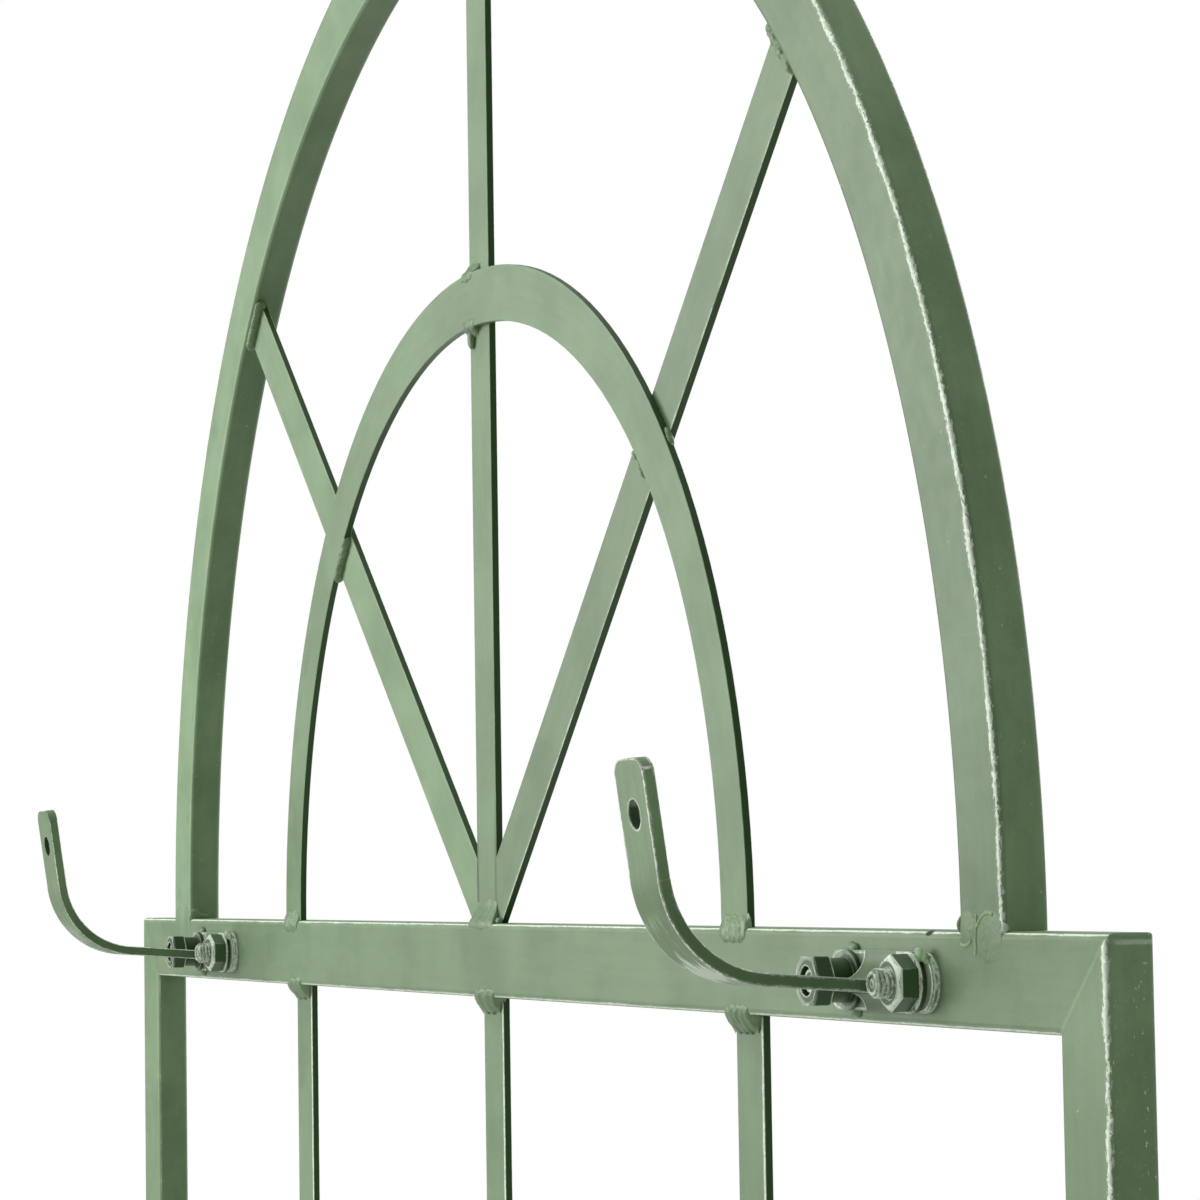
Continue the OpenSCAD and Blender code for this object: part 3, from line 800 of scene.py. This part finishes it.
def weld(name, lumps, voxel=0.35, smooth=9, rough=0.12, material=WELD_PAINT):
    """One weld: lumps as (centre, radii, turn around Y in degrees), melted into one closed skin."""
    bm = bmesh.new()
    for centre, radii, turn in lumps:
        spin = Matrix.Rotation(math.radians(turn), 4, "Y")
        place = Matrix.Translation(Vector(centre)) @ spin @ Matrix.Diagonal((*radii, 1))
        bmesh.ops.create_icosphere(bm, subdivisions=3, radius=1.0, matrix=place)
    raw = bpy.data.meshes.new(name)
    bm.to_mesh(raw)
    bm.free()
    rough_piece = new_object(name + "_raw", raw)
    melt = rough_piece.modifiers.new("melt", "REMESH")
    melt.mode = "VOXEL"
    melt.voxel_size = voxel
    settle = rough_piece.modifiers.new("settle", "SMOOTH")
    settle.factor = 0.5
    settle.iterations = smooth
    bpy.context.view_layer.update()
    melted = rough_piece.evaluated_get(bpy.context.evaluated_depsgraph_get())
    mesh = bpy.data.meshes.new_from_object(melted)
    bpy.data.objects.remove(rough_piece)
    bpy.data.meshes.remove(raw)
    mesh.name = name
    spots = [(v, v.normal.copy()) for v in mesh.vertices]
    for v, normal in spots:
        ripple = noise.fractal(v.co * 0.55, 1.0, 2.0, 3)
        v.co = (v.co + normal * ripple * rough) * MM
    keep(name, mesh, material)


SMALL_WELD = dict(voxel=0.16, smooth=2, rough=0.05)


def between(low, high, share):
    return low + (high - low) * share


def spread(low, high, count):
    return [between(low, high, i / max(count - 1, 1)) for i in range(count)]


def line_from(height, *spots, up=1):
    """A line of (y, z) points whose z is counted from a height."""
    return [(y, height + up * z) for y, z in spots]


def along(points, f):
    """The place at a share f of a line of (y, z) points, in even steps, softened at its corners."""
    n = len(points) - 1
    if not 0 <= f <= 1:
        a, b = (points[0], points[1]) if f < 0 else (points[-1], points[-2])
        spare = (f if f < 0 else 1 - f) * n
        return tuple(p + (q - p) * spare for p, q in zip(a, b))
    at = f * n
    i = min(int(at), n - 1)
    g = at - i
    near_four = (points[min(max(i + k, 0), n)] for k in (-1, 0, 1, 2))
    return tuple(0.5 * (2 * b + (c - a) * g + (2 * a - 5 * b + 4 * c - d) * g * g
                        + (3 * b - a - 3 * c + d) * g ** 3) for a, b, c, d in zip(*near_four))


def outwards(path, f):
    """The direction (y, z) away from the metal, square to the path at a share f of it."""
    ya, za = along(path, f - 0.02)
    yb, zb = along(path, f + 0.02)
    ty, tz = yb - ya, zb - za
    size = math.hypot(ty, tz) or 1.0
    return -abs(tz) / size, (1 if tz > 0 else -1) * ty / size


def ridged(name, start, end, path, back, middle=0.0, thick=1.0, ridges=2, groove=0.12, scallop=0.03,
           round_x=4, rough=0.25, sink=0.2, soft=0.6, material=WELD_PAINT, seed=1.0):
    """A weld run as one skin. path is its (y, z) line over the faces it joins, back a line inside the metal.
    start and end are its x ranges from middle, where the path begins and ends. Ridges run along the path."""
    across, down, wander, round_v = 72, 48, 0.2, 3
    front_points, back_points = [], []
    for i in range(across + 1):
        u = i / across
        wave = math.cos(2 * math.pi * (ridges * u + 0.12 * math.sin(5 * u + seed)))
        for j in range(down + 1):
            v = j / down
            x = middle + between(between(*start, u), between(*end, u), v)
            x += wander * math.sin(6.0 * v + 7.0 * u + seed)
            f = 0.5 + (v - 0.5) * (1.0 + scallop * wave * 2.0)
            y, z = along(path, f)
            out_y, out_z = outwards(path, f)
            brim = max(0.0, 1 - abs(2 * u - 1) ** round_x - abs(2 * v - 1) ** round_v) ** soft
            bumpy = noise.fractal(Vector((x * 0.45, y * 0.45, z * 0.45 + seed)), 1.0, 2.0, 3)
            lift = thick * brim * (1 + groove * wave + rough * bumpy) - sink
            front_points.append((x, y + out_y * lift, z + out_z * lift))
            back_points.append((x, *along(back, v)))
    closed_sheet(name, front_points, back_points, across + 1, down + 1, material)


def ring_foot_welds():
    """Feet of the inner arch: short ridges side by side over the rail's front edge."""
    path = line_from(TOP, (RING_FRONT, 3.9), (RING_FRONT - 0.15, 2.2), (0.5, 0.4), (0.12, -1.2), (0.0, -2.8),
                     (0.0, -4.4))
    back = line_from(TOP, (RING_FRONT + 1.0, 2.6), (RING_FRONT + 1.2, 1.2), (2.2, 0.2), (1.6, -1.4),
                     (1.2, -2.4), (1.0, -3.4))
    for side, x, head, foot, ridges, seed in (("right", BAR, (-8.4, 9.6), (-9.2, 10.8), 4, 1.3),
                                              ("left", -BAR, (-9.0, 8.0), (-9.6, 8.4), 3, 4.1)):
        ridged(side + "_ring_foot_weld", head, foot, path, back, x, thick=1.15, ridges=ridges, groove=0.10,
               seed=seed)


def low_bar_welds():
    """Lower bars: ridges from the rail's front face back to the bar, at both rails."""
    path = ((0.0, 3.2), (0.02, 1.6), (0.55, -0.1), (1.9, -1.9), (3.5, -3.6), (LOW_FRONT - 0.1, -5.8))
    back = ((1.1, 2.6), (1.6, 1.6), (3.4, 0.8), (6.0, -0.6), (6.2, -2.6), (LOW_FRONT + 0.9, -4.8))
    for name, x, seed, head, foot, top_ridges in (("right", BAR, 3.0, (-4.0, 13.0), (-11.2, 6.4), 4),
                                                  ("centre", 0.0, 5.2, (-2.4, 17.6), (-11.0, 6.0), 3),
                                                  ("left", -BAR, 8.1, (-4.0, 14.0), (-11.0, 6.0), 3)):
        for end, z, up, ridges in (("top", LOW, 1, top_ridges), ("foot", BASE_TOP, -1, 3)):
            ridged(name + "_bar_" + end + "_weld", head, foot, line_from(z, *path, up=up),
                   line_from(z, *back, up=up), x, ridges=ridges, scallop=0.04, seed=seed)


def fan_foot_weld():
    """Foot of the fan: one smooth run up from the rail's edge over the three bars."""
    path = line_from(TOP, (0.0, -2.4), (0.15, -0.9), (0.7, 0.8), (1.9, 3.0), (2.9, 5.4),
                     (FAN_FRONT - 0.05, 8.6))
    back = line_from(TOP, (1.2, -1.8), (1.6, -1.2), (3.0, -0.5), (FAN_FRONT + 0.8, 1.0),
                     (FAN_FRONT + 0.9, 4.0), (FAN_FRONT + 0.9, 7.4))
    ridged("fan_foot_weld", (-11.8, 14.2), (-9.0, 8.8), path, back, thick=0.75, round_x=5, rough=0.15,
           sink=0.25, soft=1.0, material=FLAT_WELD_PAINT, seed=2.2)
    weld("fan_foot_dot", [((13.2, 2.6, TOP + 0.7), (1.5, 1.0, 1.3), 0)], voxel=0.2, smooth=2)


def arch_foot(a, z, left, lines):
    """Height of the weld, a from the arch's inner face outwards, z from the rail's top: two flat lobes, or
    the thin lines on them. left is 0 on the right side and 1 on the left one."""
    none = -0.6
    inner = ((a - 3.9) / 5.6) ** 2 + ((z - 0.3 - 0.12 * (a - 4)) / 4.6) ** 2
    outer = ((a - 16.6) / (7.2 - left)) ** 2 + ((z + 1.4) / 6.7) ** 2
    over_corner = max(0.0, a - 23.0, 2.0 - a)
    round_off = 2.0 - math.sqrt(max(0.0, 4.0 - over_corner ** 2))
    bumps = 0.06 * noise.fractal(Vector((a * 0.5, z * 0.5, 3.0 + left)), 1.0, 2.0, 3)
    if not lines:
        return max(0.30 * (1.0 - inner), 0.28 * (1.0 - outer), none) + bumps - round_off
    bent = a - 9.9 - 0.35 * math.sin(0.7 * z) + (0.16 * (z + 3.4) ** 2 if z < -3.4 else 0.0)
    ridge = 0.40 - (bent / 0.95) ** 2 - (0.0 if -6.0 < z < 4.3 else 2.0)
    lip = 0.34 - (3.4 * (outer - 0.80)) ** 2 - (0.0 if z > 1.0 and a < 19 else 2.0)
    hem = 0.34 - (2.4 * (inner - 0.78)) ** 2 - (0.0 if z < -0.5 and a < 7 else 2.0)
    return max(ridge, lip, hem, none) + bumps - round_off


def arch_foot_relief(name, sign, lines, material):
    """One arch foot's low weld on the front faces, as a sheet closed inside the metal."""
    cell, back_y = 0.22, 2.4
    x_low, x_high = sorted((sign * (ARCH_IN + 0.3), sign * (ARCH_IN + 23.3)))
    z_low, z_high = TOP - 8.6, TOP + 5.6
    wide, tall = (int((high - low) / cell) for low, high in ((x_low, x_high), (z_low, z_high)))
    spots = [(x, z) for x in spread(x_low, x_high, wide) for z in spread(z_low, z_high, tall)]
    front = [(x, -arch_foot(sign * x - ARCH_IN, z - TOP, sign < 0, lines), z) for x, z in spots]
    back = [(x, back_y, z) for x, z in spots]
    closed_sheet(name, front, back, wide, tall, material)


def arch_foot_welds():
    """Feet of the outer arch: flat lobes, thin ridges on the right ones, and a bead in the inner corner."""
    for side, sign in (("right", 1), ("left", -1)):
        arch_foot_relief(side + "_arch_foot_lobes", sign, False, WELD_PAINT)
        if side == "right":
            arch_foot_relief("right_arch_foot_lines", sign, True, HIGHLIGHT_WELD_PAINT)
        weld(side + "_arch_foot_weld",
             [((sign * (ARCH_IN - 0.1), 2.2, TOP + 1.6), (1.6, 2.6, 2.9), sign * 8),
              ((sign * (ARCH_IN + 0.4), 5.4, TOP + 0.9), (1.7, 3.0, 1.7), 0)], smooth=5)
    weld("right_arch_foot_dot", [((ARCH_IN + 23.9, 0.9, TOP + 0.9), (1.1, 1.0, 1.3), 0),
                                 ((ARCH_IN + 23.0, 0.7, TOP), (0.9, 0.9, 0.8), 0)],
         voxel=0.16, smooth=3, rough=0.1, material=BARE_PAINT)


def centre_cross_welds():
    """Crossing of the inner arch with the centre bar: low lips from the arch's edge back to the bar."""
    lip = ((RING_FRONT, -3.0), (RING_FRONT - 0.02, -1.4), (RING_FRONT + 0.35, 0.2), (RING_FRONT + 1.5, 1.4),
           (FAN_FRONT - 0.1, 3.6))
    back = ((RING_FRONT + 1.0, -2.4), (RING_FRONT + 1.2, -1.4), (FAN_FRONT + 0.6, -0.8),
            (FAN_FRONT + 0.9, 0.6), (FAN_FRONT + 0.9, 2.6))
    for name, z, up, start, end, thick, seed in (
            ("centre_cross_weld", TOP + RING_OUT, 1, (-11.6, -1.2), (-11.0, 1.6), 0.7, 3.1),
            ("centre_cross_low_weld", TOP + RING_IN, -1, (-10.4, 2.4), (-10.2, -1.6), 0.75, 4.4)):
        ridged(name, start, end, line_from(z, *lip, up=up), line_from(z, *back, up=up), thick=thick,
               groove=0.08, scallop=0.07, seed=seed)
    weld("centre_cross_drip", [((-6.4, 2.9, TOP + RING_IN - 3.6), (2.1, 1.4, 3.6), -4)], voxel=0.25,
         smooth=3)


def ring_bead(name, radius, low, high, count, thick, y=2.9, smooth=8, rough=0.1, uneven=0.1,
              material=WELD_PAINT):
    """A bead of count lumps on a circle around the arches' centre, between two angles in degrees."""
    lumps = []
    for i, angle in enumerate(spread(low, high, count)):
        a = math.radians(angle)
        centre = (radius * math.cos(a), y, TOP + radius * math.sin(a))
        radii = (thick * (1.0 + uneven * math.sin(2.4 * i)), thick * (1.1 + uneven * math.cos(1.9 * i)), 3.2)
        lumps.append((centre, radii, -angle))
    weld(name, lumps, voxel=0.25, smooth=smooth, rough=rough, material=material)


def diagonal_welds():
    """The diagonals' crossings with the inner arch, and their upper ends on the outer arch."""
    ring_bead("left_cross_weld", RING_IN - 0.3, 135.9, 140.2, 5, 1.9, material=DARK_WELD_PAINT)
    ring_bead("left_cross_upper_weld", RING_OUT + 0.2, 133.5, 136.5, 4, 1.0, y=3.1)
    ring_bead("right_cross_weld", RING_IN - 1.2, 43.2, 45.2, 4, 1.25, y=2.2, smooth=5, uneven=0.15)
    ring_bead("right_cross_outer_weld", RING_OUT - 0.1, 41.2, 41.7, 2, 1.0)
    half_width = 0.95 * math.degrees(HALF_BAR / ARCH_IN)
    for side, lean, uneven, material in (("left", LEFT_FAN, 0.04, DARK_WELD_PAINT),
                                         ("right", RIGHT_FAN, 0.14, WELD_PAINT)):
        angle = 90 - math.degrees(lean)
        ring_bead(side + "_slant_top_weld", ARCH_IN - 1.3, angle - half_width, angle + half_width, 9, 2.1,
                  y=2.8, rough=0.15, uneven=uneven, material=material)


def plate_drop(side):
    """A drop of weld on the plate's round end, above the bolt."""
    x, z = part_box(side + "_hook_plate")[1].x / MM, HUB_Z / MM
    weld(side + "_plate_drop", [((x - 6.0, -2.9, z + 7.3), (2.7, 1.1, 1.7), 24),
                                ((x - 4.2, -2.4, z + 6.7), (2.4, 1.0, 1.3), 38)],
         material=DROP_PAINT, **SMALL_WELD)


def plate_tacks(side):
    """Two tacks that hold a plate's square end, above and below it."""
    low, high = (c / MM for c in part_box(side + "_hook_plate"))
    x = low.x + 10.5
    for end, z, up, wide, off, tall in (("top", high.z, 1, 2.6, -1.6, 1.3),
                                        ("low", low.z, -1, 2.8, 1.4, 1.2)):
        weld(side + "_plate_tack_" + end, [((x, -0.7, z + 0.5 * up), (wide, 1.2, 1.4), 0),
                                           ((x + off, -0.4, z + 0.9 * up), (1.8, 0.9, tall), 20 * up)],
             **SMALL_WELD)


def ring_at(x, y, z, steps, radius_at):
    """A ring of points around the line (x, z) along Y, radius_at(angle) away from it."""
    angles = [2 * math.pi * k / steps for k in range(steps)]
    return [(x + radius_at(a) * math.cos(a), y, z + radius_at(a) * math.sin(a)) for a in angles]


def threaded_shank(x, z, tip, seat):
    """An M8 thread clogged with paint from the tip to the rail, then a plain shank to the head's seat."""
    crest, root, pitch, per_turn, steps = 4.0, 3.3, 1.25, 8, 40
    thread_end, plain_r, tip_r = 0.5, crest - 0.02, 2.95
    # a collar and a hollow on the bolt's end, as (radius, distance from the tip)
    end_rings = ((0.8, 0.06), (1.2, 0.16), (1.45, 0.55), (2.15, 0.60), (2.4, 0.06), (2.75, 0.0))

    def thread_radius(a, y):
        phase = ((y - tip) / pitch + a / (2 * math.pi)) % 1.0
        wave = min(1.0, max(0.0, 2.2 * (1 - abs(2 * phase - 1)) - 0.5))
        clog = noise.noise(Vector((1.4 * math.cos(a), 0.5 * y, 1.4 * math.sin(a) + x)))
        r = root + (crest - root) * min(1.0, max(wave, 0.5 + 1.3 * clog)) - 0.18 * max(0.0, -clog)
        return min(r, tip_r + (y - tip))

    rings = [ring_at(x, tip + off, z, steps, lambda a: r) for r, off in end_rings]
    for i in range(int((thread_end - tip) / pitch * per_turn) + 1):
        y = tip + i * pitch / per_turn
        rings.append(ring_at(x, y, z, steps, lambda a: thread_radius(a, y)))
    return rings + [ring_at(x, y, z, steps, lambda a: plain_r) for y in (thread_end + 0.3, seat)]


def hex_head(x, z, seat, end):
    """A head of six flats, its outer corners cut by a cone, with a shallow hollow at its end."""
    flat, steps, sixth = 6.5, 72, math.pi / 3
    cone = ((seat, 7.1), (seat + 0.35, 7.6), (end - 0.75, 7.6), (end - 0.35, 6.95), (end, 6.2),
            (end - 0.12, 5.4), (end - 0.12, 2.0))

    def hexagon(a):
        return flat / math.cos((a + sixth / 2) % sixth - sixth / 2)

    return [ring_at(x, y, z, steps, lambda a: min(hexagon(a), most)) for y, most in cone]


def threaded_bolts(side):
    """Both bolts of one hook with a real thread, in place of the plain ones."""
    half_pitch = 19.0
    low, high = (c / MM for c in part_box(side + "_hook_bolts"))
    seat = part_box(side + "_rear_washers")[1].y / MM
    middle, z = (low.x + high.x) / 2, (low.z + high.z) / 2
    bodies = []
    for x in (middle - half_pitch, middle + half_pitch):
        bodies += [threaded_shank(x, z, low.y, seat), hex_head(x, z, seat, high.y)]
    mesh = ringed_mesh(side + "_threaded_bolts", bodies)
    piece = keep(side + "_threaded_bolts", mesh, BOLT_PAINT)
    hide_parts(side + "_hook_bolts")
    mesh.set_sharp_from_angle(angle=math.radians(38))


smooth_arch("smooth_outer_arch")
ring_foot_welds()
low_bar_welds()
fan_foot_weld()
arch_foot_welds()
centre_cross_welds()
diagonal_welds()
for make_both in (plate_drop, plate_tacks, threaded_bolts):
    for hook_side in ("left", "right"):
        make_both(hook_side)


def make_floor(reach=40.0):
    """A pale floor under the stakes, which fades to white away from the trellis."""
    mesh = bpy.data.meshes.new("floor")
    z = cad_box[0].z - 0.0005
    corners = [(x * reach, y * reach, z) for x, y in ((-1, -1), (1, -1), (1, 1), (-1, 1))]
    mesh.from_pydata(corners, [], [(0, 1, 2, 3)])
    new_object("floor", mesh)
    material = bpy.data.materials.new("floor")
    t = Tree(material)
    far = t.node("VectorMath", t.node("TexCoord").outputs["Object"], operation="LENGTH")
    path = t.node("LightPath")
    seen = t.most(path.outputs["Is Camera Ray"], t.mul(path.outputs["Is Glossy Ray"], 0.25))
    plain = t.node("BsdfDiffuse", t.mix(seen, (0.58, 0.58, 0.57), (0.86, 0.86, 0.85)))
    white = t.node("Emission", (1, 1, 1, 1), 1.0)
    t.blend(t.mul(t.ramp(far.outputs["Value"], 1.1, 3.2), seen), plain, white, "OutputMaterial")
    mesh.materials.append(material)


def make_world():
    """Soft light that grows upwards. The camera sees plain white, and gloss a white backdrop behind."""
    world = bpy.data.worlds.new("studio")
    bpy.context.scene.world = world
    t = Tree(world)
    path = t.node("LightPath")
    direction = t.node("TexCoord").outputs["Generated"]
    backwards = t.node("VectorMath", direction, (-0.37, 0.93, 0.0), operation="DOT_PRODUCT").outputs["Value"]
    backdrop = t.mul(path.outputs["Is Glossy Ray"], t.ramp(backwards, 0.15, 0.6, 0.0, 0.55))
    direct = t.most(t.most(path.outputs["Is Camera Ray"], path.outputs["Is Transmission Ray"]), backdrop)
    level = t.ramp(t.parts(direction)[2], -0.2, 1.0, 0.34, 0.60)
    level = t.mul(level, t.ramp(path.outputs["Is Glossy Ray"], 0.0, 1.0, 1.0, 0.35))
    room = t.node("Background", (0.97, 1.0, 0.95, 1), level)
    t.blend(direct, room, t.node("Background", (1, 1, 1, 1), 1.0), "OutputWorld")


def lamp(name, place, aim, size, power, gloss):
    data = bpy.data.lights.new(name, "AREA")
    data.shape = "DISK"
    data.size = size
    data.energy = power
    data.specular_factor = gloss
    made = new_object(name, data)
    made.location = place
    made.rotation_mode = "QUATERNION"
    made.rotation_quaternion = (Vector(aim) - Vector(place)).to_track_quat("-Z", "Y")
    made.visible_camera = False


def make_camera():
    """The photograph's camera, fitted to the frame's edges: place in metres, angles in degrees."""
    place = Vector((1.245175, -0.452225, 1.215275))
    yaw, pitch, roll = 68.17, 4.07, -0.9
    data = bpy.data.cameras.new("camera")
    data.sensor_width = 36
    data.sensor_fit = "HORIZONTAL"
    data.lens = 116.47
    data.clip_start = 0.05
    data.clip_end = 200
    camera = new_object("camera", data)
    turn = Matrix.Translation(place)
    for angle, axis in ((yaw, "Z"), (90 + pitch, "X"), (roll, "Z")):
        turn = turn @ Matrix.Rotation(math.radians(angle), 4, axis)
    camera.matrix_world = turn
    bpy.context.scene.camera = camera


make_floor()
make_world()
lamp("key", (-2.0, -2.2, 1.8), (-0.1, 0, 1.2), 2.2, 62, 0.0)
lamp("top", (-0.9, -1.0, 3.4), (0.1, 0, 1.2), 1.4, 22, 1.0)
lamp("rear_fill", (-2.4, 4.2, 3.0), (0, 0, 0.9), 3.2, 130, 0.0)
make_camera()
bpy.context.scene.view_settings.view_transform = "Standard"
